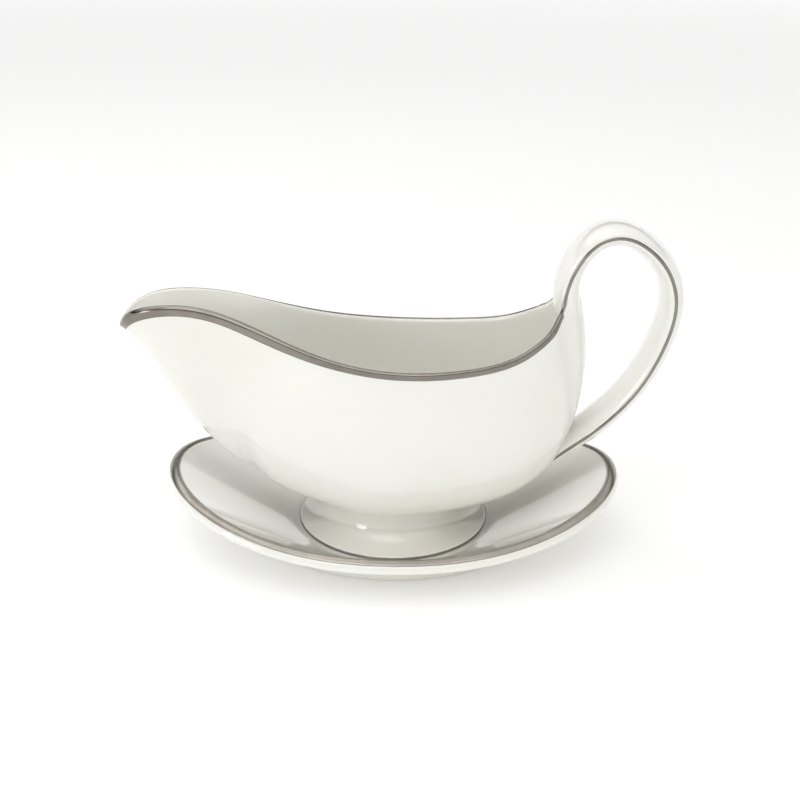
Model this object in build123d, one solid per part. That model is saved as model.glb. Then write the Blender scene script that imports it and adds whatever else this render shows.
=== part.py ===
from build123d import *

import os
from math import atan2, copysign, cos, radians, sin

# ---------------------------------------------------------------------------------------------
# A china gravy boat on its oval stand.  Millimetres, +Z up, spout towards -X, handle towards +X.
# The origin lies on the table, under the middle of the stand.
# ---------------------------------------------------------------------------------------------

# Stand
stand_half_length = 93.8
stand_half_width = 62.0
stand_outline_power = 2.1      # 2 is a true ellipse, more is fuller at the corners
stand_thickness = 2.8
well_height = 6.2              # top of the flat well that the boat stands on, above the table
well_clearance = 1.4           # the well is this much wider all round than the boat's foot
crest_inset = 4.0              # the rim's crest lies this far inside the outline
crest_height_side = 17.5       # crest above the table at the middle of the long sides
crest_height_end = 31.5        # and at the two ends
crest_power = 2.3              # how late the crest climbs towards the ends
dish_power = 1.25              # how much the dish steepens from the well to the crest
shoulder_inset = 1.2           # the crest rolls over to a shoulder, a lip and a lower edge
shoulder_drop = 1.2
lip_drop = 3.2
edge_inset = 1.0
edge_drop = 4.6
stand_foot_half_length = 56.0
stand_foot_half_width = 44.8
stand_foot_wall = 3.2
stand_band_share = 0.92        # the platinum starts this far from the well to the crest
band_film = 0.25               # thickness of the fired-on platinum

# Boat: the mouth
spout_reach = 110.3            # spout tip in front of the middle
back_reach = 71.0              # back wall behind the middle
mouth_half_width = 33.6
rim_height = 76.0              # lowest part of the rim above the boat's own foot
spout_rise = 17.9              # crest of the spout above that
heel_rise = 29.0               # back of the rim above that
boat_wall = 2.8
rim_band_width = 2.2
rim_band_depth = 0.6           # how far the platinum is let into the edge

# Boat: the wall.  From the rim it is led out and down, and from the foot it is led out again;
# each lead has a value for the front, the sides and the back
lead_out = (-20.0, 6.0, 12.5)
lead_down = (13.0, 32.0, 36.0)
lead_foot = (57.0, 16.0, 51.0)
spout_sharpness = 14           # how quickly the front's leads at the rim give way to the sides'
belly_sharpness = 5            # the same for the leads at the foot
back_sharpness = 3

# Boat: the foot
foot_join_radius = 28.2
foot_join_height = 15.8
foot_radius = 39.6
foot_edge_height = 1.3
foot_wall = 3.2
foot_cove_depth = 4.2
foot_seat_margin = 0.4         # the foot's top stays this far inside the bowl's flat base
well_radius = foot_radius + well_clearance

# Boat: the handle strap
strap_half_width = 10.0
strap_half_thickness = 4.4
strap_root_half_width = 11.6
strap_root_half_thickness = 2.6
handle_line_radius = 0.8

# Places round one half of the mouth, from the spout tip to the back: the share of the reach,
# the share of the half width and the share of the rise above the lowest part of the rim
MOUTH = [
    (-1.000, 0.000, 0.42),     # tip
    (-0.986, 0.153, 0.55),
    (-0.946, 0.288, 0.77),
    (-0.869, 0.370, 0.95),
    (-0.760, 0.400, 1.00),     # crest of the spout
    (-0.624, 0.468, 0.88),
    (-0.452, 0.635, 0.57),
    (-0.262, 0.844, 0.23),
    (-0.072, 0.982, 0.04),
    (0.174, 1.000, 0.00),      # widest and lowest
    (0.449, 0.924, 0.045),
    (0.681, 0.770, 0.17),
    (0.845, 0.553, 0.39),
    (0.886, 0.429, 0.48),      # the rim turns up into the strap
    (0.918, 0.333, 0.62),
    (0.951, 0.277, 0.79),
    (0.986, 0.149, 0.95),
    (1.000, 0.000, 1.00),      # back, inside the strap
]

# The strap's centre line behind the back wall (x past the back reach, height above the rim)
STRAP = [
    (0.5, 5.5),
    (-3.2, 13.5),
    (-4.4, 22.0),
    (-3.2, 31.0),
    (0.2, 39.0),
    (5.3, 45.0),
    (12.0, 48.0),
    (18.5, 47.6),
    (25.0, 44.3),
    (31.3, 38.5),
    (35.8, 31.0),
    (37.9, 21.5),
    (36.5, 10.0),
    (31.8, -3.5),
    (25.5, -15.0),
    (18.0, -24.5),
    (9.5, -32.8),
    (0.0, -40.9),
    (-7.5, -47.0),
]


def blended(values, bearing, front_sharpness=spout_sharpness):
    """A front, side and back value blended by a bearing from straight ahead."""
    front, side, back = values
    to_front = max(0.0, cos(bearing)) ** front_sharpness
    to_back = max(0.0, -cos(bearing)) ** back_sharpness
    return side + (front - side) * to_front + (back - side) * to_back


def mouth_point(place):
    """One place on the rim, on the -Y side of the boat."""
    along, across, up = place
    reach, rise = (spout_reach, spout_rise) if along < 0 else (back_reach, heel_rise)
    return Vector(along * reach, -across * mouth_half_width, rim_height + up * rise)


def round_the_boat(half):
    """A half ring of points with its mirror image, spout tip first."""
    return half + [Vector(p.X, -p.Y, p.Z) for p in half[-2:0:-1]]


def meridians():
    """For each place on the rim, the wall's curve down to the foot, as four control points."""
    curves = []
    for top in round_the_boat([mouth_point(place) for place in MOUTH]):
        bearing = atan2(-top.Y, -top.X)
        away = Vector(-cos(bearing), -sin(bearing), 0)
        base = away * foot_join_radius + Vector(0, 0, foot_join_height)
        shoulder = top + away * blended(lead_out, bearing) - Vector(0, 0, blended(lead_down, bearing))
        belly = base + away * blended(lead_foot, bearing, belly_sharpness)
        curves.append((top, shoulder, belly, base))
    return curves


def wall_ring(shares):
    """The outer wall's ring of points, each at its own share of the way from rim to foot."""
    ring = []
    for (top, shoulder, belly, base), share in zip(meridians(), shares):
        rest = 1 - share
        upper = top * rest**3 + shoulder * 3 * share * rest**2
        ring.append(upper + belly * 3 * share**2 * rest + base * share**3)
    return ring


def grown_ring(shares, growth):
    """The wall's ring moved out by growth, or in where growth is negative."""
    step = 0.01
    ring = wall_ring(shares)
    above = wall_ring([max(0.0, share - step) for share in shares])
    below = wall_ring([min(1.0, share + step) for share in shares])
    grown = []
    for i, p in enumerate(ring):
        way = ring[(i + 1) % len(ring)] - ring[i - 1]
        grown.append(p - way.cross(below[i] - above[i]).normalized() * growth)
    return grown


def level_shares(share):
    """The same share for every meridian."""
    return [share] * (2 * len(MOUTH) - 2)


def closed_curve(points):
    """A smooth closed wire through a ring of points."""
    return Wire(Edge.make_spline(points, periodic=True))


def wall_skin(growth, base_height):
    """The wall's surface from a level base ring up to the rim, and its two end wires."""
    base = closed_curve([Vector(p.X, p.Y, base_height) for p in grown_ring(level_shares(1.0), growth)])
    levels = (0.85, 0.68, 0.5, 0.33, 0.16, 0.0)
    rings = [closed_curve(grown_ring(level_shares(share), growth)) for share in levels]
    return Shell.make_loft([base] + rings), base, rings[-1]


def joined(skins):
    """A solid closed by skins that meet edge to edge."""
    faces = [face for skin in skins for face in skin.faces()]
    return Solid(Shell(faces))


def bands(wires):
    """Straight-sided skins from each wire to the next."""
    return [Shell.make_loft([a, b], ruled=True) for a, b in zip(wires[:-1], wires[1:])]


def make_bowl():
    """The bowl: an even wall on a flat base, open along the rim."""
    outside, base, outer_rim = wall_skin(0.0, foot_join_height)
    inside, floor, inner_rim = wall_skin(-boat_wall, foot_join_height + boat_wall)
    edge = bands([outer_rim, inner_rim])
    return joined([outside, inside, Face(base), Face(floor)] + edge)


def make_boat_rim_band():
    """The platinum round the outside and top edge of the rim, let into the wall by a rebate."""
    rise = Vector(0, 0, band_film)
    edge = level_shares(0.0)
    lower = [rim_band_width / (3 * (top.Z - shoulder.Z)) for top, shoulder, _, _ in meridians()]
    outer_low = grown_ring(lower, band_film)
    outer_high = [p + rise for p in grown_ring(edge, band_film)]
    inner_high = [p + rise for p in grown_ring(edge, -rim_band_depth)]
    inner_low = grown_ring(lower, -rim_band_depth)
    corners = [closed_curve(ring) for ring in (outer_low, outer_high, inner_high, inner_low)]
    return joined(bands(corners + corners[:1]))


def cove(top_radius, top_height, bottom_radius, bottom_height, depth):
    """A hollow curve between two points of a turned profile."""
    top = Vector(top_radius, 0, top_height)
    bottom = Vector(bottom_radius, 0, bottom_height)
    chord = bottom - top
    inward = Vector(chord.Z, 0, -chord.X).normalized()
    middle = (top + bottom) / 2 + inward * depth
    return Edge.make_three_point_arc(top, middle, bottom)


def make_boat_foot():
    """The turned foot: a hollow-sided ring that spreads to the edge it stands on."""
    seat = foot_join_radius - foot_seat_margin
    edge = foot_radius - band_film
    outside = cove(seat, foot_join_height, edge, foot_edge_height, foot_cove_depth)
    inside = cove(seat - foot_wall, foot_join_height, edge - foot_wall, 0.0, foot_cove_depth)
    sides = [
        outside,
        Edge.make_line((edge, 0, foot_edge_height), (edge, 0, 0)),
        Edge.make_line((edge, 0, 0), (edge - foot_wall, 0, 0)),
        inside,
        Edge.make_line((seat - foot_wall, 0, foot_join_height), (seat, 0, foot_join_height)),
    ]
    return revolve(Face(Wire(sides)), Axis.Z)


def make_boat_foot_band():
    """The platinum film round the foot's standing edge."""
    ring = Circle(foot_radius) - Circle(foot_radius - band_film)
    return extrude(ring, foot_edge_height)


def strap_places():
    """Centre points of the strap, from its root in the back wall round to its lower end."""
    return [Vector(back_reach + x, 0, rim_height + z) for x, z in STRAP]


def strap_frames():
    """At each centre point: the point, the outward direction and the two half sizes."""
    places = strap_places()
    line = Edge.make_spline(places)
    frames = []
    for i, place in enumerate(places):
        share = line.param_at_point(place)
        along = line.tangent_at(share)
        outward = Vector(-along.Z, 0, along.X)
        rooted = max(0.0, 1 - i / 3)
        half_width = strap_half_width + (strap_root_half_width - strap_half_width) * rooted
        half_thickness = strap_half_thickness + (strap_root_half_thickness - strap_half_thickness) * rooted
        frames.append((place, outward, along, half_width, half_thickness))
    return frames


def make_strap():
    """The whole strap handle before it is fitted to the bowl."""
    sections = []
    for place, outward, along, half_width, half_thickness in strap_frames():
        plane = Plane(origin=place, x_dir=(0, 1, 0), z_dir=along)
        sections.append(Wire(Edge.make_ellipse(half_width, half_thickness, plane)))
    return Solid.make_loft(sections)


def make_handle_line(side):
    """The platinum line along one edge of the strap, on the -Y side or the +Y side."""
    sections = []
    for place, _, along, half_width, _ in strap_frames():
        centre = place + Vector(0, side * half_width, 0)
        sections.append(Wire(Edge.make_circle(handle_line_radius, Plane(origin=centre, z_dir=along))))
    return Solid.make_loft(sections)


def largest(shape):
    """The biggest solid of what a cut leaves."""
    return max(shape.solids(), key=lambda solid: solid.volume)


def oval(inset):
    """Plan points of the stand's outline, drawn in by inset."""
    power = 2 / stand_outline_power
    points = []
    for step in range(40):
        angle = radians(step * 9)
        along = copysign(abs(cos(angle)) ** power, cos(angle))
        across = copysign(abs(sin(angle)) ** power, sin(angle))
        points.append((along * (stand_half_length - inset), across * (stand_half_width - inset)))
    return points


def crest_height(x):
    """Height of the rim's crest: lowest at the middle of the sides, highest at the ends."""
    share = min(1.0, abs(x) / (stand_half_length - crest_inset))
    return crest_height_side + (crest_height_end - crest_height_side) * share**crest_power


def rim_ring(inset, drop):
    """A ring of the rolled rim: the outline drawn in by inset, below the crest by drop."""
    crest = oval(crest_inset)
    return [Vector(x, y, crest_height(c) - drop) for (x, y), (c, _) in zip(oval(inset), crest)]


def dish_ring(share, drop):
    """A ring of the dish, from the well's edge (0) to the crest (1), lowered by drop."""
    ring = []
    for crest in rim_ring(crest_inset, 0.0):
        away = Vector(crest.X, crest.Y, 0).normalized() * well_radius
        plan = away + (Vector(crest.X, crest.Y, 0) - away) * share
        height = well_height + (crest.Z - well_height) * share**dish_power
        ring.append(Vector(plan.X, plan.Y, height - drop))
    return ring


def make_stand_plate():
    """The dish: flat well, rising oval side, crest rolled over to a lip, even thickness."""
    up = [closed_curve(dish_ring(share, 0.0)) for share in (0.0, 0.3, 0.6, stand_band_share)]
    down = [closed_curve(dish_ring(share, stand_thickness)) for share in (0.0, 0.3, 0.6, 0.9)]
    crest = closed_curve(rim_ring(crest_inset, 0.0))
    shoulder = closed_curve(rim_ring(shoulder_inset, shoulder_drop))
    lip = closed_curve(rim_ring(0.0, lip_drop))
    edge = closed_curve(rim_ring(edge_inset, edge_drop))
    rolled = bands([up[-1], crest, shoulder, lip, edge, down[-1]])
    return joined([Shell.make_loft(up), Shell.make_loft(down), Face(up[0]), Face(down[0])] + rolled)


def make_stand_rim_band():
    """The platinum on the crest, from the dish's edge to the shoulder."""
    rings = [
        dish_ring(stand_band_share, 0.0),
        rim_ring(crest_inset, 0.0),
        rim_ring(shoulder_inset, shoulder_drop),
    ]
    film = Vector(0, 0, band_film)
    raised = [[p + film for p in ring] for ring in reversed(rings)]
    wires = [closed_curve(ring) for ring in rings + raised]
    return joined(bands(wires + wires[:1]))


def make_stand_foot_ring(plate):
    """The oval ring that the stand rests on, fitted to the dish's underside."""
    outer = Ellipse(stand_foot_half_length, stand_foot_half_width)
    inner = Ellipse(stand_foot_half_length - stand_foot_wall, stand_foot_half_width - stand_foot_wall)
    pieces = extrude(outer - inner, crest_height_side) - plate
    return min(pieces.solids(), key=lambda solid: solid.center().Z)


def seated(shape):
    """A piece of the boat, raised from its own foot to the floor of the stand's well."""
    return Pos(0, 0, well_height) * shape


def make_parts():
    """Every piece under the name of its node."""
    band = make_boat_rim_band()
    body = make_bowl() - band
    strap = make_strap()
    plate = make_stand_plate()
    near, far = make_handle_line(-1), make_handle_line(1)
    return {
        "boat_body": seated(body),
        "boat_rim_band": seated(largest(band - strap)),
        "boat_foot": seated(make_boat_foot()),
        "boat_foot_band": seated(make_boat_foot_band()),
        "boat_handle": seated(largest(strap - near - far - body)),
        "handle_line_left": seated(largest(near - body - band)),
        "handle_line_right": seated(largest(far - body - band)),
        "stand_plate": plate,
        "stand_rim_band": make_stand_rim_band(),
        "stand_foot_ring": make_stand_foot_ring(plate),
    }


os.makedirs("parts", exist_ok=True)
for name, piece in make_parts().items():
    export_step(piece, "parts/" + name + ".step")
    print(name, round(piece.volume), "mm3", len(piece.solids()), "solid")
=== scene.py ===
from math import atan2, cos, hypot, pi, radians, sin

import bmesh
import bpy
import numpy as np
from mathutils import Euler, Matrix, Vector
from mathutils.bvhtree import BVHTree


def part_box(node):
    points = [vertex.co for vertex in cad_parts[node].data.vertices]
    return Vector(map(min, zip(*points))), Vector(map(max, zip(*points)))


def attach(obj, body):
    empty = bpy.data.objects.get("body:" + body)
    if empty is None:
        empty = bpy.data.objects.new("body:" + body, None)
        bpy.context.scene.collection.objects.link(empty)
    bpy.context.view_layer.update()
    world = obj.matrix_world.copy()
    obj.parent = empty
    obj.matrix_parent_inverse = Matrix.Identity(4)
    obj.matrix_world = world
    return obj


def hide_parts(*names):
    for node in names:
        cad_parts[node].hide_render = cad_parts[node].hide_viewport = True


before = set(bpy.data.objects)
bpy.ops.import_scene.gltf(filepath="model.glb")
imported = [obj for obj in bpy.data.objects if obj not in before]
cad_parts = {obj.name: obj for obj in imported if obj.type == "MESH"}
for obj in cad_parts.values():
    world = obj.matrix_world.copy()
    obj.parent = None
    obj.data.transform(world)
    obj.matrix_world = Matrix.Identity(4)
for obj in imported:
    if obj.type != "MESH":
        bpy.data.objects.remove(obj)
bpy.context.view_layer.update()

# %% [markdown]
# # A china gravy boat on its stand
# Two loose pieces of thin glazed china.  The boat is a slip-cast bowl with a long spout, a turned
# foot and a pulled strap handle; the stand is an oval dish with a rolled rim.  Both carry lines of
# fired-on platinum.  Every surface here is a smooth sheet of four-sided faces, because a glaze
# shows each reflection and any uneven triangle would break the highlight.
#
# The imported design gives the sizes.  Each piece is rebuilt with the same few curves as the design,
# but with round edges and much finer faces, and then stands in for its plain solid.

mm = 0.001
bowl_low = np.array(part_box("boat_body")[0])
foot_low, foot_high = (np.array(corner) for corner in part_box("boat_foot"))
foot_band_high = np.array(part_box("boat_foot_band")[1])
plate_high = np.array(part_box("stand_plate")[1])
ring_high = np.array(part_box("stand_foot_ring")[1])
seat = foot_low[2]
print("boat stands", round(seat / mm, 2), "mm above the table; dish", np.round(plate_high / mm, 1))


# %% [markdown]
# ## Sheets of quads
# A turned or cast shape is a stack of rings.  Joining each ring to the next gives a clean sheet,
# and a short fan closes a ring that has become a small disc.  One helper turns a stack of rings
# into a piece, so every piece of china is made the same way.  A second helper says what a piece is:
# the body it moves with and the plain solid it stands in for.

# %% a stack of rings becomes a piece
def outward(mesh):
    """Turns a closed sheet's faces outward."""
    work = bmesh.new()
    work.from_mesh(mesh)
    bmesh.ops.recalc_face_normals(work, faces=work.faces)
    work.to_mesh(mesh)
    work.free()


def circle_turns(count):
    """Evenly spread angles once round."""
    return np.arange(count) / count * 2 * pi


def sheet_of_rings(name, rings, closed_path=False, start_cap=False, end_cap=False):
    """A smooth piece through rings of equally many points; the caps are fans to the middle."""
    rings = [np.asarray(ring) for ring in rings]
    count = len(rings[0])
    points = np.concatenate(rings)
    faces = []
    rows = len(rings) if closed_path else len(rings) - 1
    for row in range(rows):
        low, high = row * count, (row + 1) % len(rings) * count
        for i in range(count):
            j = (i + 1) % count
            faces.append((low + i, low + j, high + j, high + i))
    for wanted, row in ((start_cap, 0), (end_cap, len(rings) - 1)):
        if wanted:
            middle = len(points)
            points = np.vstack([points, rings[row].mean(axis=0)])
            first = row * count
            for i in range(count):
                pair = (first + i, first + (i + 1) % count)
                faces.append((*pair, middle) if row else (*reversed(pair), middle))
    mesh = bpy.data.meshes.new(name)
    mesh.from_pydata(points.tolist(), [], faces)
    mesh.validate()
    outward(mesh)
    mesh.shade_smooth()
    piece = bpy.data.objects.new(name, mesh)
    bpy.context.scene.collection.objects.link(piece)
    print(name, len(mesh.vertices), "points", len(mesh.polygons), "faces")
    return piece


def belongs(piece, body, node):
    """The piece moves with a body and stands in for a node, which it hides."""
    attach(piece, body)
    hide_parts(node)


# %% [markdown]
# ## The mouth and the wall
# The rim is one closed curve in space: it rises to the crest of the spout, dips along the sides
# and climbs again into the strap.  A caster thinks of the wall as a family of curves that run from
# the rim down to the foot, so each place on the rim leads its own curve: out and down from the
# rim, and out again from the foot.  Blending those leads round the boat shapes the keel under the
# spout, the full belly and the upright back.

# %% the rim's places and the wall's leads
spout_reach = -bowl_low[0]
back_reach = 71.0 * mm
mouth_half_width = 33.6 * mm
rim_height = seat + 76.0 * mm
spout_rise = 17.9 * mm
heel_rise = 29.0 * mm
wall = 2.8 * mm
foot_join_radius = 28.2 * mm
foot_join_height = foot_high[2]

# share of the reach, share of the half width, share of the rise; spout tip first
MOUTH = [
    (-1.000, 0.000, 0.42),
    (-0.986, 0.153, 0.55),
    (-0.946, 0.288, 0.77),
    (-0.869, 0.370, 0.95),
    (-0.760, 0.400, 1.00),
    (-0.624, 0.468, 0.88),
    (-0.452, 0.635, 0.57),
    (-0.262, 0.844, 0.23),
    (-0.072, 0.982, 0.04),
    (0.174, 1.000, 0.00),
    (0.449, 0.924, 0.045),
    (0.681, 0.770, 0.17),
    (0.845, 0.553, 0.39),
    (0.886, 0.429, 0.48),
    (0.918, 0.333, 0.62),
    (0.951, 0.277, 0.79),
    (0.986, 0.149, 0.95),
    (1.000, 0.000, 1.00),
]

# for the front, the sides and the back: how far the wall is led out and down from the rim, and
# out from the foot; and how sharply the front and back give way to the sides
lead_out = (-20.0 * mm, 6.0 * mm, 12.5 * mm)
lead_down = (13.0 * mm, 32.0 * mm, 36.0 * mm)
lead_foot = (57.0 * mm, 16.0 * mm, 51.0 * mm)
spout_sharpness, belly_sharpness, back_sharpness = 14, 5, 3
upward = np.array([0.0, 0.0, 1.0])
print("mouth", round((spout_reach + back_reach) / mm), "mm long,", round(2 * mouth_half_width / mm), "wide")


def blended(values, bearing, front_sharpness=spout_sharpness):
    """A front, side and back value blended by a bearing from straight ahead."""
    front, side, back = values
    to_front = max(0.0, cos(bearing)) ** front_sharpness
    to_back = max(0.0, -cos(bearing)) ** back_sharpness
    return side + (front - side) * to_front + (back - side) * to_back


def mouth_point(place):
    """One place on the rim, on the -Y side."""
    along, across, up = place
    reach, rise = (spout_reach, spout_rise) if along < 0 else (back_reach, heel_rise)
    return np.array([along * reach, -across * mouth_half_width, rim_height + up * rise])


def wall_controls(top):
    """The four control points of the wall's curve below one point of the rim."""
    bearing = atan2(-top[1], -top[0])
    away = np.array([-cos(bearing), -sin(bearing), 0.0])
    base = away * foot_join_radius + upward * foot_join_height
    shoulder = top + away * blended(lead_out, bearing) - upward * blended(lead_down, bearing)
    belly = base + away * blended(lead_foot, bearing, belly_sharpness)
    return np.array([top, shoulder, belly, base])


# %% [markdown]
# Eighteen places are enough to say what the rim does, but far too few for a smooth sheet.  A
# closed cubic spline carries all four control points round the boat together, so any number of
# wall curves can be drawn between the given ones.

# %% a closed spline through all the wall curves
def along_spline(knots, after, tangents, steps, places):
    """Cubic pieces between knots and the knots after them, sampled at places along the line."""
    starts = np.concatenate([[0.0], np.cumsum(steps)])
    rows = []
    for place in places * starts[-1]:
        i = min(int(np.searchsorted(starts, place, side="right")) - 1, len(steps) - 1)
        t = (place - starts[i]) / steps[i]
        j = after[i]
        rows.append(
            knots[i] * (1 + 2 * t) * (1 - t) ** 2
            + tangents[i] * steps[i] * t * (1 - t) ** 2
            + knots[j] * t * t * (3 - 2 * t)
            + tangents[j] * steps[i] * t * t * (t - 1)
        )
    return np.array(rows)


def closed_spline(knots, samples):
    """Evenly many samples of a closed cubic spline through rows of numbers."""
    count = len(knots)
    steps = np.linalg.norm(np.roll(knots[:, :3], -1, axis=0) - knots[:, :3], axis=1) ** 0.5
    before = np.roll(steps, 1)
    system = np.zeros((count, count))
    for i in range(count):
        system[i, i] = 2 * (before[i] + steps[i])
        system[i, (i - 1) % count] += steps[i]
        system[i, (i + 1) % count] += before[i]
    slope = (np.roll(knots, -1, axis=0) - knots) / steps[:, None]
    right = 3 * (steps[:, None] * np.roll(slope, 1, axis=0) + before[:, None] * slope)
    after = [(i + 1) % count for i in range(count)]
    places = np.arange(samples) / samples
    return along_spline(knots, after, np.linalg.solve(system, right), steps, places)


curves_round = 288
half_rim = [mouth_point(place) for place in MOUTH]
whole_rim = half_rim + [p * (1, -1, 1) for p in half_rim[-2:0:-1]]
knots = np.array([wall_controls(top).ravel() for top in whole_rim])
wall_curves = closed_spline(knots, curves_round).reshape(-1, 4, 3)
tops = wall_curves[:, 0]
print(len(wall_curves), "wall curves; rim", np.round(np.ptp(tops, axis=0) / mm, 1), "mm")


# %% [markdown]
# Cast china has the same thickness everywhere, because the mould draws water from the slip evenly.
# So the inside is not a smaller copy of the outside: each ring is moved along the wall's own
# direction, which is square both to the ring and to the curve that runs down from the rim.

# %% rings of the wall, with an even thickness
# the small step down the wall that feels its slope
slope_step = 0.004


def wall_ring(shares):
    """The outside of the wall at a share, or one share for each curve, of the way down."""
    t = np.broadcast_to(shares, len(wall_curves))[:, None]
    top, shoulder, belly, base = (wall_curves[:, k] for k in range(4))
    rest = 1 - t
    return top * rest**3 + shoulder * 3 * t * rest**2 + belly * 3 * t**2 * rest + base * t**3


def unit(vectors):
    """Rows scaled to length one."""
    return vectors / np.linalg.norm(vectors, axis=-1, keepdims=True)


def wall_normal(shares):
    """Directions straight out of the wall."""
    t = np.broadcast_to(shares, len(wall_curves))
    down = wall_ring(np.minimum(1.0, t + slope_step)) - wall_ring(np.maximum(0.0, t - slope_step))
    ring = wall_ring(t)
    around = np.roll(ring, -1, axis=0) - np.roll(ring, 1, axis=0)
    return -unit(np.cross(around, down))


def grown_ring(shares, growth):
    """The wall's ring moved straight out by growth."""
    return wall_ring(shares) + wall_normal(shares) * growth


print("widest ring", round(max(np.ptp(wall_ring(k)[:, 1]) for k in np.linspace(0, 1, 9)) / mm, 1), "mm")


# %% [markdown]
# ## The bowl
# The rim of cast china is sponged round before firing, so its edge is half a circle, not a cut.
# The rings go up the outside, over that half circle and down the inside to a flat floor.

# %% the bowl with its sponged rim
# rings up the wall, a little closer near the rim; rings over the rim; and rings across the floor
rows_up, crowding, rim_rows = 46, 0.9, 11
floor_shares = (0.9, 0.75, 0.55, 0.3)
rim_radius = wall / 2
outside_shares = 1 - np.linspace(0, 1, rows_up) ** crowding


def rim_over(turn, skin=0.0):
    """The ring at one angle of the half circle over the rim, raised by skin."""
    middle = grown_ring(0.0, -rim_radius)
    radius = rim_radius + skin
    return middle + wall_normal(0.0) * cos(turn) * radius + upward * sin(turn) * radius


inside = [grown_ring(share, -wall) for share in outside_shares[::-1][1:]]
floor_height = foot_join_height + wall
inside = [np.column_stack([ring[:, :2], np.maximum(ring[:, 2], floor_height)]) for ring in inside]
bowl_rings = [wall_ring(share) for share in outside_shares[:-1]]
bowl_rings += [rim_over(turn) for turn in np.linspace(0, pi, rim_rows)]
bowl_rings += inside
floor_edge = np.column_stack([inside[-1][:, :2], np.full(curves_round, floor_height)])
bowl_rings += [floor_edge * (share, share, 1.0) for share in floor_shares]
bowl = sheet_of_rings("bowl", bowl_rings, start_cap=True, end_cap=True)
belongs(bowl, "boat", "boat_body")


# %% [markdown]
# ## The turned foot
# A foot is turned on a wheel, so its outline is one profile spun round.  The side is a hollow
# cove that spreads to the edge it stands on, and the kiln leaves that edge slightly rounded.

# %% profiles and the turned foot
turned_points = 192


def arc_between(start, end, depth, samples):
    """A shallow arc between two (radius, height) points, bowed inward by depth."""
    start, end = np.array(start), np.array(end)
    chord = end - start
    inward = np.array([chord[1], -chord[0]]) / hypot(*chord)
    rows = []
    for t in np.linspace(0, 1, samples):
        rows.append(start + chord * t + inward * depth * 4 * t * (1 - t))
    return rows


def turned(name, profile):
    """A closed profile of (radius, height) pairs spun round the boat's axis."""
    angles = circle_turns(turned_points)
    circle = np.column_stack([np.cos(angles), np.sin(angles), angles * 0])
    rings = [circle * radius + upward * height for radius, height in profile]
    return sheet_of_rings(name, rings, closed_path=True)


foot_radius = foot_band_high[0]
foot_wall = 3.2 * mm
cove_depth = 4.2 * mm
cove_rows = 28
seat_margin = 0.4 * mm
seat_radius = foot_join_radius - seat_margin
band_height = foot_band_high[2] - seat
under_band = 0.2 * mm
edge_round = 0.5 * mm
side_ends = (seat_radius, foot_join_height), (foot_radius - under_band, seat + band_height)
inside_ends = (seat_radius - foot_wall, foot_join_height), (foot_radius - foot_wall, seat + edge_round)
foot_side = arc_between(*side_ends, cove_depth, cove_rows)
foot_inside = arc_between(*inside_ends, cove_depth, cove_rows)
# the standing edge, from outside to inside, a hundredth of a millimetre clear of the dish
foot_edge = [
    (foot_radius - 0.15 * mm, seat + edge_round),
    (foot_radius - 0.3 * mm, seat + 0.2 * mm),
    (foot_radius - 0.8 * mm, seat + 0.01 * mm),
    (foot_radius - foot_wall + 0.8 * mm, seat + 0.01 * mm),
    (foot_radius - foot_wall + 0.2 * mm, seat + 0.15 * mm),
]
foot = turned("turned_foot", foot_side + foot_edge + foot_inside[::-1])
belongs(foot, "boat", "boat_foot")


# %% [markdown]
# ## The strap handle
# A strap is a pulled bar of clay, flat and slightly crowned, bent while soft and luted on at both
# ends.  It grows out of the high back of the rim, loops over and comes back to the wall low down.
# Its centre line, width and thickness are splined together, so it thins and spreads where the
# potter has worked it into the wall.

# %% an open spline and the strap
def open_spline(knots, samples):
    """Evenly many samples of a natural cubic spline through rows of numbers."""
    knots = np.asarray(knots, dtype=float)
    steps = np.linalg.norm(np.diff(knots[:, :3], axis=0), axis=1)
    slope = np.diff(knots, axis=0) / steps[:, None]
    count = len(knots)
    system = np.zeros((count, count))
    right = np.zeros_like(knots)
    system[0, :2] = system[-1, :-3:-1] = (2, 1)
    right[0], right[-1] = 3 * slope[0], 3 * slope[-1]
    for i in range(1, count - 1):
        system[i, i - 1 : i + 2] = (steps[i], 2 * (steps[i - 1] + steps[i]), steps[i - 1])
        right[i] = 3 * (steps[i] * slope[i - 1] + steps[i - 1] * slope[i])
    after = list(range(1, count))
    places = np.linspace(0, 1, samples)
    return along_spline(knots, after, np.linalg.solve(system, right), steps, places)


# in millimetres: x past the back reach, height above the rim, half width, half thickness, and how
# far the platinum line lies in front of the strap's middle
STRAP = [
    (2.2, 3.5, 6.5, 2.2, 0.0),
    (0.0, 8.5, 8.0, 3.6, 1.0),
    (-2.0, 13.8, 9.2, 4.8, 1.5),
    (-3.6, 22.0, 10.0, 5.2, 1.4),
    (-3.1, 31.0, 10.0, 4.6, 0.4),
    (0.2, 39.0, 10.0, 4.4, 0.0),
    (5.3, 45.0, 10.0, 4.4, 0.0),
    (12.0, 48.0, 10.0, 4.4, 0.0),
    (18.5, 47.6, 10.0, 4.4, 0.0),
    (25.0, 44.3, 10.0, 4.4, 0.0),
    (31.3, 38.5, 10.0, 4.4, 0.0),
    (35.8, 31.0, 10.0, 4.4, 0.0),
    (37.9, 21.5, 10.0, 4.4, 0.0),
    (36.5, 10.0, 10.0, 4.4, 0.0),
    (31.8, -3.5, 10.0, 4.4, 0.0),
    (25.5, -15.0, 10.0, 4.4, 0.0),
    (18.0, -24.5, 10.0, 4.4, 0.0),
    (9.5, -32.8, 10.2, 4.5, 0.0),
]
strap_knots = []
for x, z, *rest in STRAP:
    strap_knots.append((back_reach + x * mm, 0.0, rim_height + z * mm, *np.array(rest) * mm))
strap_rows, strap_points = 170, 56
strap_line = open_spline(strap_knots, strap_rows)
strap_along = unit(np.gradient(strap_line[:, :3], axis=0))
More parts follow.
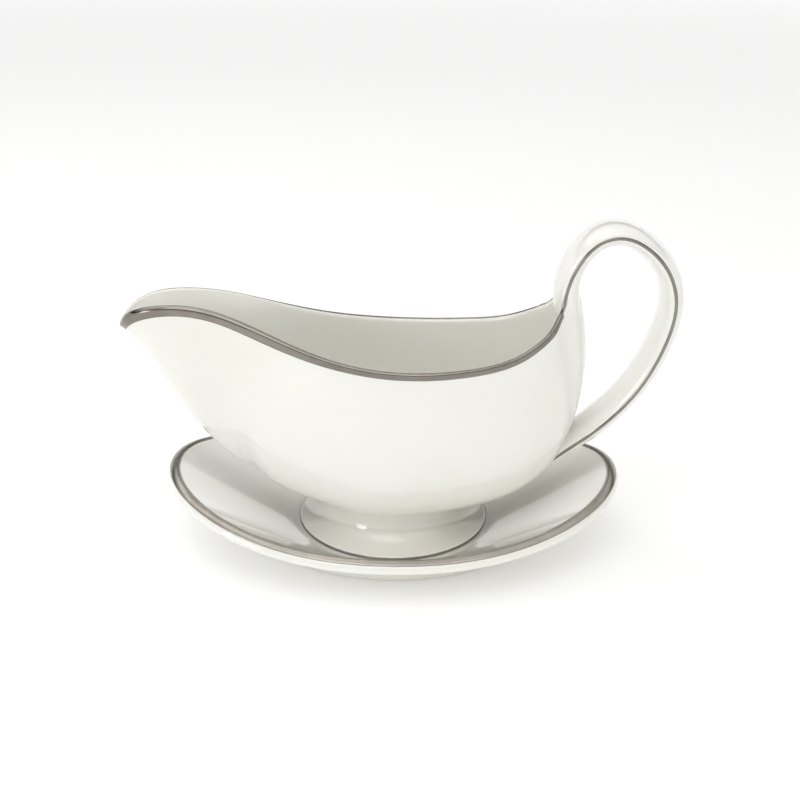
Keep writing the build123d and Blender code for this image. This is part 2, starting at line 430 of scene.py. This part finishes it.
strap_out = np.column_stack([-strap_along[:, 2], strap_along[:, 1], strap_along[:, 0]])
strap_crown = 2.25
sideways = np.array([0.0, 1.0, 0.0])


def oval_section(turns, power):
    """A rounded oval of half sizes one, fuller than an ellipse for a power above two."""
    c, s = np.cos(turns), np.sin(turns)
    return np.sign(c) * abs(c) ** (2 / power), np.sign(s) * abs(s) ** (2 / power)


across, through = oval_section(circle_turns(strap_points), strap_crown)
strap_rings = []
for row, out in zip(strap_line, strap_out):
    middle, half_width, half_thickness = row[:3], row[3], row[4]
    section = np.outer(across * half_width, sideways) + np.outer(through * half_thickness, out)
    strap_rings.append(middle + section)
print("strap", round(np.linalg.norm(np.diff(strap_line[:, :3], axis=0), axis=1).sum() / mm), "mm long")


# %% [markdown]
# The lower end has to meet a wall that curves both ways.  A potter presses the end of the strap
# against the wall and smooths it out sideways.  Here each point of the last section is sent on
# until a ray finds the bowl, and the section spreads a little just before it lands.

# %% the strap's lower end, worked out onto the wall
farthest = 100.0 * mm
usual_run = 30.0 * mm
landing_rows = 16


def landing(ring, aim, gather, spread, deep):
    """Rings that carry a section on towards a place until each of its points lands on the bowl."""
    wall_tree = BVHTree.FromObject(bowl, bpy.context.evaluated_depsgraph_get())
    offsets = ring - ring.mean(axis=0)
    ways = unit(aim + offsets * gather - ring)
    centre_way = unit(aim - ring.mean(axis=0))
    rims = unit(offsets - np.outer(offsets @ centre_way, centre_way))
    runs = []
    for point, rim, way in zip(ring, rims, ways):
        hit, _, _, run = wall_tree.ray_cast(Vector(point + rim * spread), Vector(way), farthest)
        runs.append(run if hit else max(runs, default=usual_run))
    runs = np.array(runs)[:, None]
    rows = []
    for t in np.linspace(0, 1, landing_rows + 1)[1:]:
        rows.append(ring + rims * spread * t**4 + ways * (runs + deep) * t)
    print("the strap lands after", round(runs.min() / mm, 1), "to", round(runs.max() / mm, 1), "mm")
    return rows


landing_place = np.array([back_reach - 13.5 * mm, 0.0, rim_height - 51.7 * mm])
landing_gather, landing_spread, landing_depth = 0.75, 1.2 * mm, 0.7 * mm
strap_rings += landing(strap_rings[-1], landing_place, landing_gather, landing_spread, landing_depth)
strap = sheet_of_rings("strap_handle", strap_rings, start_cap=True, end_cap=True)
belongs(strap, "boat", "boat_handle")


# %% [markdown]
# ## The stand
# The stand is a jiggered dish: a plaster mould gives the face, a template the back.  Its outline
# is a little fuller than an ellipse, and the edge climbs towards both ends.  The rim is rolled,
# so beyond the crest the wall turns over into a soft white lip.

# %% the dish, ring by ring
stand_half_length, stand_half_width = plate_high[0], plate_high[1]
outline_power = 2.1
stand_thickness = 2.8 * mm
well_radius = 41.0 * mm
crest_inset = 4.0 * mm
crest_side = 17.5 * mm
crest_end = plate_high[2]
crest_power = 2.3
dish_power = 1.25
stand_points = 320
stand_turns = circle_turns(stand_points)


def outline(inset):
    """Plan points of the dish's outline, drawn in by inset."""
    x, y = oval_section(stand_turns, outline_power)
    return np.column_stack([x * (stand_half_length - inset), y * (stand_half_width - inset)])


crest_plan = outline(crest_inset)
crest_share = np.minimum(1.0, abs(crest_plan[:, 0]) / (stand_half_length - crest_inset))
crest_top = crest_side + (crest_end - crest_side) * crest_share**crest_power
crest_way = unit(crest_plan)
well_edge = crest_way * well_radius
dish_run = np.linalg.norm(crest_plan - well_edge, axis=1)


def rolled(inset, drop):
    """A ring of the rolled rim: the outline drawn in, below the crest by drop."""
    return np.column_stack([outline(inset), crest_top - drop])


def dish(share, drop=0.0):
    """A ring of the dish from the well's edge (0) to the crest (1)."""
    share = np.broadcast_to(share, len(stand_turns))
    plan = well_edge + (crest_plan - well_edge) * share[:, None]
    height = seat + (crest_top - seat) * share**dish_power
    return np.column_stack([plan, height - drop])


def flat_well(height, shares=(0.97, 0.85, 0.6, 0.3)):
    """Rings across the flat middle, from its edge inward."""
    return [np.column_stack([well_edge * share, np.full(len(well_edge), height)]) for share in shares]


# inset and drop of the rolled rim in millimetres, from the crest over the lip to the underside
ROLL = [(4.0, 0.0), (3.2, 0.05), (2.2, 0.4), (1.2, 1.1), (0.4, 2.1), (0.0, 3.2), (0.3, 4.2), (1.2, 4.75)]
upper_rows, roll_rows, under_rows = 33, 22, 28
under_edge = 0.95
roll_path = open_spline([(inset * mm, drop * mm, 0.0) for inset, drop in ROLL], roll_rows)
upper_rings = [dish(share) for share in np.linspace(0, 1, upper_rows + 1)[:-1]]
roll_rings = [rolled(inset, drop) for inset, drop, _ in roll_path]
under_rings = [dish(share, stand_thickness) for share in np.linspace(under_edge, 0, under_rows)]
plate_rings = flat_well(seat)[::-1] + upper_rings + roll_rings + under_rings
plate_rings += flat_well(seat - stand_thickness)
plate = sheet_of_rings("oval_dish", plate_rings, start_cap=True, end_cap=True)
belongs(plate, "stand", "stand_plate")


# %% [markdown]
# The dish rests on a low oval ring.  Its top follows the dish's underside, and its standing edge
# is wiped clean of glaze, so that it does not stick to the kiln shelf.

# %% the foot ring under the dish
ring_wall = 3.2 * mm
bury = 0.5 * mm


def foot_ring_row(inset, height=None):
    """A ring of the stand's foot; with no height it reaches just into the dish."""
    half_length, half_width = ring_high[0] - inset, ring_high[1] - inset
    radius = 1 / np.hypot(crest_way[:, 0] / half_length, crest_way[:, 1] / half_width)
    plan = crest_way * radius[:, None]
    share = (radius - well_radius) / dish_run
    underside = seat + (crest_top - seat) * np.maximum(share, 0) ** dish_power
    top = underside - stand_thickness + bury
    return np.column_stack([plan, top if height is None else np.full(len(plan), height)])


# from the outside, round the standing edge and up the inside
ring_rows = [
    foot_ring_row(0.0),
    foot_ring_row(0.0, 2.0 * mm),
    foot_ring_row(0.0, 0.9 * mm),
    foot_ring_row(0.25 * mm, 0.3 * mm),
    foot_ring_row(0.9 * mm, 0.0),
    foot_ring_row(ring_wall - 0.9 * mm, 0.0),
    foot_ring_row(ring_wall - 0.25 * mm, 0.3 * mm),
    foot_ring_row(ring_wall, 0.9 * mm),
    foot_ring_row(ring_wall),
]
foot_ring = sheet_of_rings("stand_foot", ring_rows, closed_path=True)
belongs(foot_ring, "stand", "stand_foot_ring")


# %% [markdown]
# ## The platinum lines
# The decorator loads a fine brush with liquid platinum and turns the piece against it, and the
# last, cool firing leaves a film of metal on the glaze.  Each band is made as a closed skin that
# stands a hair above the china and dips under it at both edges, so nothing flickers between them.

# %% a skin over a stack of rings
skin = 0.07 * mm
dip = 0.25 * mm


def film(name, shown, hidden):
    """A thin closed skin: the shown rings, then the hidden ones back underneath."""
    return sheet_of_rings(name, shown + hidden[::-1], closed_path=True)


print("the platinum stands", skin / mm, "mm above the china")

# %% [markdown]
# The rim's line covers the top of the rim and a strip of the outside.  The brush is pressed harder
# at the spout, so the strip is widest there, and it thins to under a millimetre where the rim
# turns up into the strap.  Then it sinks into the china, as the strap's own line takes over.

# %% round the mouth
line_widths = (2.9 * mm, 1.4 * mm, 1.3 * mm)
line_sharpness = 4
line_at_strap = 0.9 * mm
thins_from, thins_over = 52.0 * mm, 12.0 * mm
sinks_from, sinks_over, sinks_by = 65.2 * mm, 0.9 * mm, 0.45
rim_line_over = radians(118)
bearings = np.arctan2(-tops[:, 1], -tops[:, 0])
line_width = np.array([blended(line_widths, bearing, line_sharpness) for bearing in bearings])
into_strap = np.clip((tops[:, 0] - thins_from) / thins_over, 0, 1)
line_width = line_width * (1 - into_strap) + line_at_strap * into_strap
reach_of_lead = 3 * np.linalg.norm(wall_curves[:, 1] - tops, axis=1)
low_share = line_width / reach_of_lead
rim_shown = [grown_ring(low_share * k, skin) for k in (1.0, 0.8, 0.6, 0.4, 0.2)]
rim_shown += [rim_over(turn, skin) for turn in np.linspace(0, rim_line_over, 9)]
rim_hidden = [grown_ring(low_share * k, -dip) for k in (1.0, 0.5)]
rim_hidden += [rim_over(turn, -dip) for turn in (0.0, rim_line_over / 2, rim_line_over)]
rim_heart = grown_ring(0.0, -rim_radius)
sinking = sinks_by * np.clip((tops[:, 0] - sinks_from) / sinks_over, 0, 1)[:, None]
rim_shown = [ring + (rim_heart - ring) * sinking for ring in rim_shown]
rim_hidden = [ring + (rim_heart - ring) * sinking for ring in rim_hidden]
rim_line = film("rim_platinum", rim_shown, rim_hidden)
belongs(rim_line, "boat", "boat_rim_band")

# %% [markdown]
# Round the foot the line is a narrow hoop just above the standing edge.  It is laid while the
# boat turns on a wheel, so it is one profile spun round, like the foot itself.

# %% round the boat's foot
# down the outside from the top, and back up inside the china
foot_line_profile = [
    (foot_radius - under_band + 0.02 * mm, seat + band_height),
    (foot_radius - 0.02 * mm, seat + band_height - 0.25 * mm),
    (foot_radius, seat + 0.75 * band_height),
    (foot_radius, seat + 0.5 * band_height),
    (foot_radius - 0.06 * mm, seat + 0.3 * mm),
    (foot_radius - 0.25 * mm, seat + 0.1 * mm),
    (foot_radius - 0.8 * mm, seat + 0.3 * mm),
    (foot_radius - 0.8 * mm, seat + band_height - 0.4 * mm),
]
foot_line = turned("foot_platinum", foot_line_profile)
belongs(foot_line, "boat", "boat_foot_band")

# %% [markdown]
# On the dish the line is a broad band.  It starts a little inside the crest and ends on the
# shoulder, so the lip below it stays white.

# %% round the dish
band_inside = 1.1 * mm
band_drop = 1.5 * mm
band_turns = [row for row in roll_path if row[1] < band_drop]
dish_shown = [dish(1 - band_inside * k / dish_run) + upward * skin for k in (1.0, 0.6, 0.3)]
dish_shown += [rolled(inset - skin, drop - skin) for inset, drop, _ in band_turns]
dish_hidden = [dish(1 - band_inside * k / dish_run) - upward * dip for k in (1.0, 0.5)]
dish_hidden += [rolled(inset + dip, drop + dip) for inset, drop, _ in band_turns]
dish_line = film("dish_platinum", dish_shown, dish_hidden)
belongs(dish_line, "stand", "stand_rim_band")


# %% [markdown]
# The rim's line does not stop at the handle: on each side it runs on up the edge of the strap,
# round the loop and down to where the strap meets the body again.  So each of these two lines
# starts on the rim and is splined across to the strap's edge.

# %% up and round the strap
bead_points, bead_rows = 16, 210


def bead(name, path, radius):
    """A fine half-sunk bead of platinum along a path."""
    turns = circle_turns(bead_points)
    rings = []
    for centre, way in zip(path, unit(np.gradient(path, axis=0))):
        side = unit(np.cross(way, sideways))
        other = np.cross(way, side)
        circle = np.outer(np.cos(turns) * radius, side) + np.outer(np.sin(turns) * radius, other)
        rings.append(centre + circle)
    return sheet_of_rings(name, rings, start_cap=True, end_cap=True)


bead_radius = 0.7 * mm
sunk = 0.3 * mm
leaves_rim, ends_on_rim = 60.0 * mm, 65.5 * mm
joins_strap = rim_height + 25.0 * mm
rim_middle = rim_over(radians(50), -sunk)
near_tops = [i for i, p in enumerate(tops) if p[1] < 0 and leaves_rim < p[0] < ends_on_rim]
from_rim = rim_middle[near_tops[::3]]
first_on_strap = int(np.argmax(strap_line[:, 2] > joins_strap))
edge_rows, edge_out = strap_line[first_on_strap:], strap_out[first_on_strap:]
edge_half = edge_rows[:, 3] * np.sqrt(1 - (edge_rows[:, 5] / edge_rows[:, 4]) ** 2)
on_strap = edge_rows[:, :3] + edge_out * edge_rows[:, 5:6]
on_strap[:, 1] = -(edge_half - sunk)
edge_place = int(np.argmin(across))
below = [np.array(ring)[edge_place] + (0.0, sunk, 0.0) for ring in strap_rings[len(strap_line) :]]
near_places = np.vstack([from_rim, on_strap[:-3:5], below[2::4], below[-1:]])
near_path = open_spline(near_places, bead_rows)
near_line = bead("strap_platinum_near", near_path, bead_radius)
far_line = bead("strap_platinum_far", near_path * (1, -1, 1), bead_radius)
belongs(near_line, "boat", "handle_line_left")
belongs(far_line, "boat", "handle_line_right")


# %% [markdown]
# ## Writing finishes as sums
# A finish is easier to read as arithmetic than as a web of boxes.  One small class wraps a socket,
# and adding, multiplying or subtracting such values adds the Math node.  Every other node comes
# from one method, which sets the node's choices first and then its sockets.

# %% a finish and its values
class Amount:
    """A number that changes over the surface."""

    def __init__(self, finish, socket):
        self.finish, self.socket = finish, socket

    def math(self, operation, first, second):
        return self.finish.node("ShaderNodeMath", {"operation": operation}, {0: first, 1: second})

    def __add__(self, other):
        return self.math("ADD", self, other)

    def __radd__(self, other):
        return self.math("ADD", other, self)

    def __sub__(self, other):
        return self.math("SUBTRACT", self, other)

    def __rsub__(self, other):
        return self.math("SUBTRACT", other, self)

    def __mul__(self, other):
        return self.math("MULTIPLY", self, other)

    def __rmul__(self, other):
        return self.math("MULTIPLY", other, self)


class Finish:
    """The nodes of one material, or of the sky; every node comes from its node method."""

    def __init__(self, owner):
        self.owner = owner
        owner.use_nodes = True
        self.tree = owner.node_tree
        self.tree.nodes.clear()

    def node(self, kind, settings=None, sockets=None, output=0):
        """A new node: its choices are set first, then its sockets get values or links."""
        made = self.tree.nodes.new(kind)
        for setting, value in (settings or {}).items():
            if setting == "stops":
                for stop, (position, colour) in zip(made.color_ramp.elements, value):
                    stop.position, stop.color = position, colour
            else:
                setattr(made, setting, value)
        for key, value in (sockets or {}).items():
            if isinstance(value, Amount):
                self.tree.links.new(value.socket, made.inputs[key])
            else:
                made.inputs[key].default_value = value
        return Amount(self, made.outputs[output]) if len(made.outputs) else None

    def place(self):
        """Where a point lies on the piece, in metres."""
        return self.node("ShaderNodeTexCoord", output=3)

    def noise(self, place, scale, detail=3.0, roughness=0.55):
        """Soft patches, about one over scale metres across."""
        sockets = {"Vector": place, "Scale": scale, "Detail": detail, "Roughness": roughness}
        return self.node("ShaderNodeTexNoise", {"noise_dimensions": "3D"}, sockets)

    def band(self, value, low, high):
        """Zero below low, one above high, smooth between."""
        sockets = {"Value": value, "From Min": low, "From Max": high}
        return self.node("ShaderNodeMapRange", {"interpolation_type": "SMOOTHSTEP"}, sockets)

    def mix(self, share, first, second):
        """A colour mixed from two, by a share; a Mix node's colours are its sockets 6 and 7."""
        return self.node("ShaderNodeMix", {"data_type": "RGBA"}, {0: share, 6: first, 7: second}, output=2)

    def bump(self, height, strength, distance):
        """The shading direction of a surface with these small heights."""
        sockets = {"Strength": strength, "Distance": distance, "Height": height}
        return self.node("ShaderNodeBump", {}, sockets)

    def surface(self, **sockets):
        """The shader itself, joined to the material's output."""
        named = {key.replace("_", " "): value for key, value in sockets.items()}
        shader = self.node("ShaderNodeBsdfPrincipled", {}, named)
        self.node("ShaderNodeOutputMaterial", {}, {"Surface": shader})
        print(self.owner.name, len(self.tree.nodes), "nodes")
        return self.owner


# %% [markdown]
# ## Glazed china
# Bone china is white with a little warmth, and a clear glaze lies over it like a coat of thick
# varnish.  Up close the glaze is never quite flat: it has a faint ripple, it gathers slightly
# thicker and creamier in places, and there are a few tiny pinholes.  The ripple feeds the bump and
# the gathering feeds the colour.

# %% glaze over bone china
china_white = (0.900, 0.894, 0.848, 1)
pinhole_brown = (0.62, 0.58, 0.50, 1)
bare_clay = (0.80, 0.765, 0.70, 1)
glaze_fades_over = 0.25 * mm


def glazed_china(name, cream, bare_below=None):
    """Bone china under a clear glaze, bare and matt below a height where one is given."""
    finish = Finish(bpy.data.materials.new(name))
    place = finish.place()
    ripple = finish.noise(place, 55.0, 2.0)
    gather = finish.noise(place, 14.0, 4.0, 0.6)
    speck = finish.node("ShaderNodeTexVoronoi", {"feature": "F1"}, {"Vector": place, "Scale": 260.0})
    pinhole = 1 - finish.band(speck, 0.02, 0.07)
    scatter = finish.band(finish.noise(place, 120.0, 1.0), 0.68, 0.74)
    pinhole = pinhole * scatter
    thick = finish.band(gather, 0.35, 0.75)
    body = finish.mix(thick, china_white, cream)
    body = finish.mix(pinhole * 0.5, body, pinhole_brown)
    roughness = 0.10 + 0.07 * finish.noise(place, 38.0, 4.0) + 0.12 * pinhole
    coat = 1 - 0.35 * pinhole
    grain = finish.noise(place, 900.0, 3.0)
    height = ripple * 0.6 + grain * 0.03 - pinhole * 0.25
    if bare_below is not None:
        z = finish.node("ShaderNodeSeparateXYZ", {}, {"Vector": place}, output=2)
        wobble = 0.3 * mm * finish.noise(place, 90.0)
        bare = 1 - finish.band(z + wobble, bare_below, bare_below + glaze_fades_over)
        body = finish.mix(bare, body, bare_clay)
        roughness = roughness + 0.5 * bare
        coat = coat * (1 - bare)
        height = height + bare * grain * 0.3
    return finish.surface(
        Base_Color=body,
        Roughness=roughness,
        Coat_Weight=coat,
        Coat_Roughness=0.035,
        Coat_IOR=1.52,
        IOR=1.5,
        Subsurface_Weight=0.12,
        Subsurface_Radius=(0.6 * mm, 0.45 * mm, 0.3 * mm),
        Subsurface_Scale=1.0,
        Normal=finish.bump(height, 0.10, 0.35 * mm),
    )


boat_cream = (0.885, 0.872, 0.790, 1)
stand_cream = (0.888, 0.876, 0.80, 1)
bowl_glaze = glazed_china("glaze_of_the_boat", boat_cream)
dish_glaze = glazed_china("glaze_of_the_dish", stand_cream)
boat_foot_glaze = glazed_china("glaze_of_the_foot", boat_cream, seat + 0.15 * mm)
ring_glaze = glazed_china("glaze_of_the_ring", stand_cream, 0.45 * mm)
glazes = {bowl_glaze: [bowl, strap], boat_foot_glaze: [foot], dish_glaze: [plate], ring_glaze: [foot_ring]}
for glaze, pieces in glazes.items():
    for piece in pieces:
        piece.data.materials.append(glaze)


# %% [markdown]
# ## Fired platinum
# The film is bright but not a mirror.  It keeps the marks of the brush that laid it, it is a
# little warm, and years of hands and cloths have dulled it in patches and rubbed a few thin spots,
# where the white of the glaze begins to show through.  The dish's band is rougher, so duller.
# Both bands are painted darker than the metal is, as painted shade for the dark they reflect: the
# boat's lines darkest, the dish's band paler.

# %% brushed, rubbed platinum
brush_shade = (0.27, 0.255, 0.235, 1)
glaze_showing = (0.62, 0.60, 0.57, 1)


def platinum(name, wear_from, dullness, bright, dull):
    """Fired-on platinum with brush marks, dull patches and rubbed spots."""
    finish = Finish(bpy.data.materials.new(name))
    place = finish.place()
    patches = finish.band(finish.noise(place, 60.0, 4.0), 0.35, 0.7)
    marks = finish.noise(place, 700.0, 5.0, 0.7)
    rubbed = finish.band(finish.noise(place, 310.0, 6.0, 0.62), wear_from, wear_from + 0.09)
    tone = finish.mix(patches, bright, dull)
    tone = finish.mix(marks * 0.35, tone, brush_shade)
    tone = finish.mix(rubbed, tone, glaze_showing)
    height = marks * 0.5 - rubbed * 0.6
    return finish.surface(
        Base_Color=tone,
        Roughness=dullness + 0.07 * patches + 0.07 * marks + 0.1 * rubbed,
        Metallic=1 - 0.8 * rubbed,
        IOR=1.5,
        Normal=finish.bump(height, 0.06, 0.05 * mm),
    )


# painted shade: both pairs of tones are darker than platinum is, the boat's darkest and the dish's paler
boat_painted_shade_tones = (0.29, 0.270, 0.235, 1), (0.22, 0.205, 0.177, 1)
dish_painted_shade_tones = (0.40, 0.375, 0.33, 1), (0.32, 0.3, 0.262, 1)
boat_platinum = platinum("platinum_of_the_boat", 0.70, 0.05, *boat_painted_shade_tones)
dish_platinum = platinum("platinum_of_the_dish", 0.68, 0.17, *dish_painted_shade_tones)
for piece in (rim_line, foot_line, near_line, far_line):
    piece.data.materials.append(boat_platinum)
dish_line.data.materials.append(dish_platinum)


# %% [markdown]
# ## The studio
# White china is shown on a white sweep under large soft lights.  The key light hangs high behind
# on the left, so the shadow falls softly forward to the right; a front light opens the near side
# and the front of the dish.  The floor is a round sheet of paper, swept up far away, and it glows
# a little, more so far off where the lamps do not reach, so that it stays white all over.

# %% the floor
# how far out and how high each ring of the sheet lies, in metres
SWEEP = [(0.4, 0.0), (1.5, 0.0), (4.0, 0.0), (5.0, 0.05), (5.8, 0.25), (6.5, 0.8), (6.8, 1.6), (6.9, 2.5)]
under_the_stand = 0.02 * mm
glow_near, glow_far = (0.13, 0.13, 0.13, 1), (0.27, 0.27, 0.27, 1)


def studio_floor():
    """A round pale sheet under the stand, swept up at its far edge."""
    turns = circle_turns(96)
    spokes = np.column_stack([np.cos(turns), np.sin(turns), turns * 0])
    rings = [spokes * reach + upward * (height - under_the_stand) for reach, height in SWEEP]
    floor = sheet_of_rings("studio_floor", rings, start_cap=True)
    finish = Finish(bpy.data.materials.new("pale_sheet"))
    place = finish.place()
    fibre = finish.noise(place, 400.0, 3.0)
    paper = finish.mix(fibre, (0.93, 0.93, 0.93, 1), (0.96, 0.96, 0.955, 1))
    reach = finish.node("ShaderNodeVectorMath", {"operation": "LENGTH"}, {0: place}, output=1)
    glow = finish.mix(finish.band(reach, 1.2, 6.0), glow_near, glow_far)
    sheet = finish.surface(Base_Color=paper, Roughness=0.9, Emission_Color=glow, Emission_Strength=1.0)
    floor.data.materials.append(sheet)


studio_floor()


# %% [markdown]
# Four square soft boxes give the broad highlights that a glaze shows.  All of them aim at the
# middle of the object, so moving one changes only where its light comes from.

# %% the lights
def soft_light(name, place, target, size, power, colour=(1.0, 1.0, 1.0)):
    """A square soft box of a size in metres and a power in watts, aimed at a point."""
    light = bpy.data.lights.new(name, "AREA")
    light.shape = "SQUARE"
    light.size, light.energy, light.color = size, power, colour
    lamp = bpy.data.objects.new(name, light)
    lamp.location = place
    lamp.rotation_euler = (Vector(target) - Vector(place)).to_track_quat("-Z", "Y").to_euler()
    bpy.context.scene.collection.objects.link(lamp)
    print(name, size, "m", power, "W")


boat_middle = (0.0, 0.0, 0.06)
soft_light("key", (-0.55, 0.35, 1.25), boat_middle, 1.0, 2.4, (1.0, 0.99, 0.97))
soft_light("overhead", (0.1, -0.15, 1.3), boat_middle, 1.2, 1.0)
soft_light("front", (-0.15, -0.65, 1.2), boat_middle, 0.8, 1.9)
soft_light("window", (-0.95, -0.8, 0.45), boat_middle, 0.35, 1.6)

# %% [markdown]
# The sky gives most of the soft light.  It is bright overhead and dark in a belt above the sheet's
# far edge: metal lines need something dark to reflect, or they would look like white paint.

# %% the sky
belt, overhead = (0.44, (0.03, 0.028, 0.025, 1)), (0.62, (1, 1, 1, 1))
world = bpy.data.worlds.new("studio_sky")
sky = Finish(world)
direction = sky.node("ShaderNodeTexCoord")
rise = sky.node("ShaderNodeSeparateXYZ", {}, {0: direction}, output=2)
shade = sky.node("ShaderNodeValToRGB", {"stops": (belt, overhead)}, {0: rise})
sky_light = sky.node("ShaderNodeBackground", {}, {"Color": shade, "Strength": 0.9})
sky.node("ShaderNodeOutputWorld", {}, {"Surface": sky_light})
bpy.context.scene.world = world
bpy.context.scene.view_settings.view_transform = "Standard"
print("sky", len(sky.tree.nodes), "nodes")


# %% [markdown]
# ## The camera
# The camera stands less than half a metre in front and a hand above the handle, and looks down
# into the bowl.  It is rolled by a little under a degree, as a camera held by hand often is.

# %% the camera
tilt_down = radians(22.818)
roll = radians(0.809)
focal_length, sensor = 52.68, 36.0
stands_at = (0.00236, -0.44243, 0.24491)
lens = bpy.data.cameras.new("camera")
lens.lens, lens.sensor_width = focal_length, sensor
camera = bpy.data.objects.new("camera", lens)
camera.location = stands_at
turn = Euler((pi / 2 - tilt_down, 0.0, 0.0)).to_matrix() @ Euler((0.0, 0.0, roll)).to_matrix()
camera.rotation_euler = turn.to_euler()
bpy.context.scene.collection.objects.link(camera)
bpy.context.scene.camera = camera
print("camera looks down", round(tilt_down / pi * 180, 1), "degrees")
